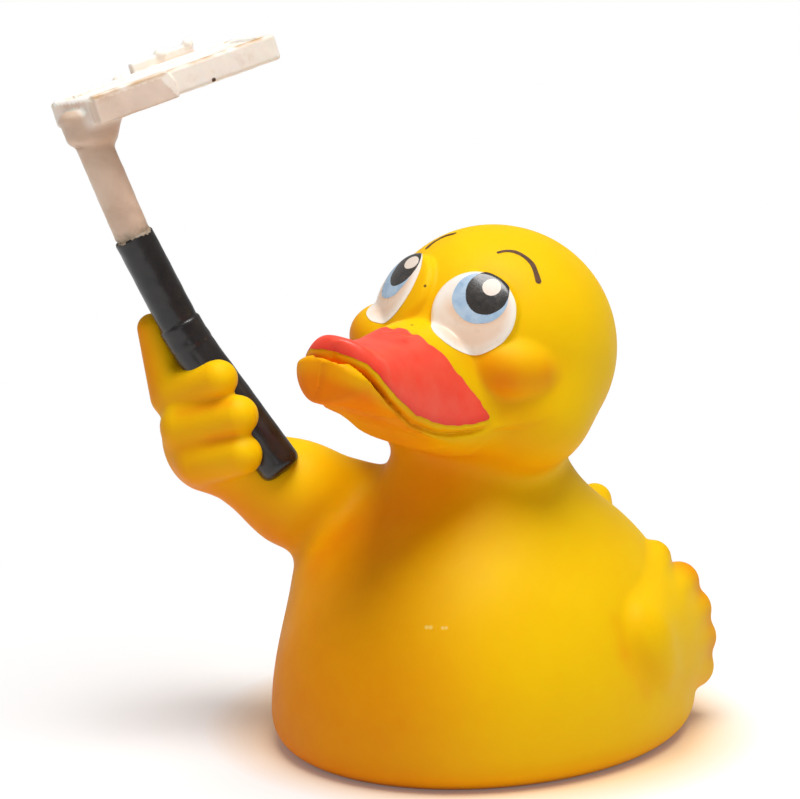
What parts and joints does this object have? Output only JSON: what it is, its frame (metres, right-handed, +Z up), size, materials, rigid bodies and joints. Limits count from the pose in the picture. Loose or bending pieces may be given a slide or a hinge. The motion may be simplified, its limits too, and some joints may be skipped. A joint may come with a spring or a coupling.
{
  "type": "rubber duck",
  "caption": "Cast latex bath duck on a flat base, head tilted up, holding a stick with a flat slab on it in one raised wing; a squeaker plug sits in the base.",
  "frame": {"origin": "centre of the flat base that the duck stands on", "axes": "+Z up; the duck's bill points towards -Y and its left side is +X"},
  "size_m": [0.0847, 0.0792, 0.1022],
  "materials": {
    "latex": "satin cast latex, hand painted",
    "squeaker_plastic": "matte moulded plastic"
  },
  "bodies": {
    "root": {"duck": "latex", "squeaker": "squeaker_plastic"}
  },
  "joints": []
}
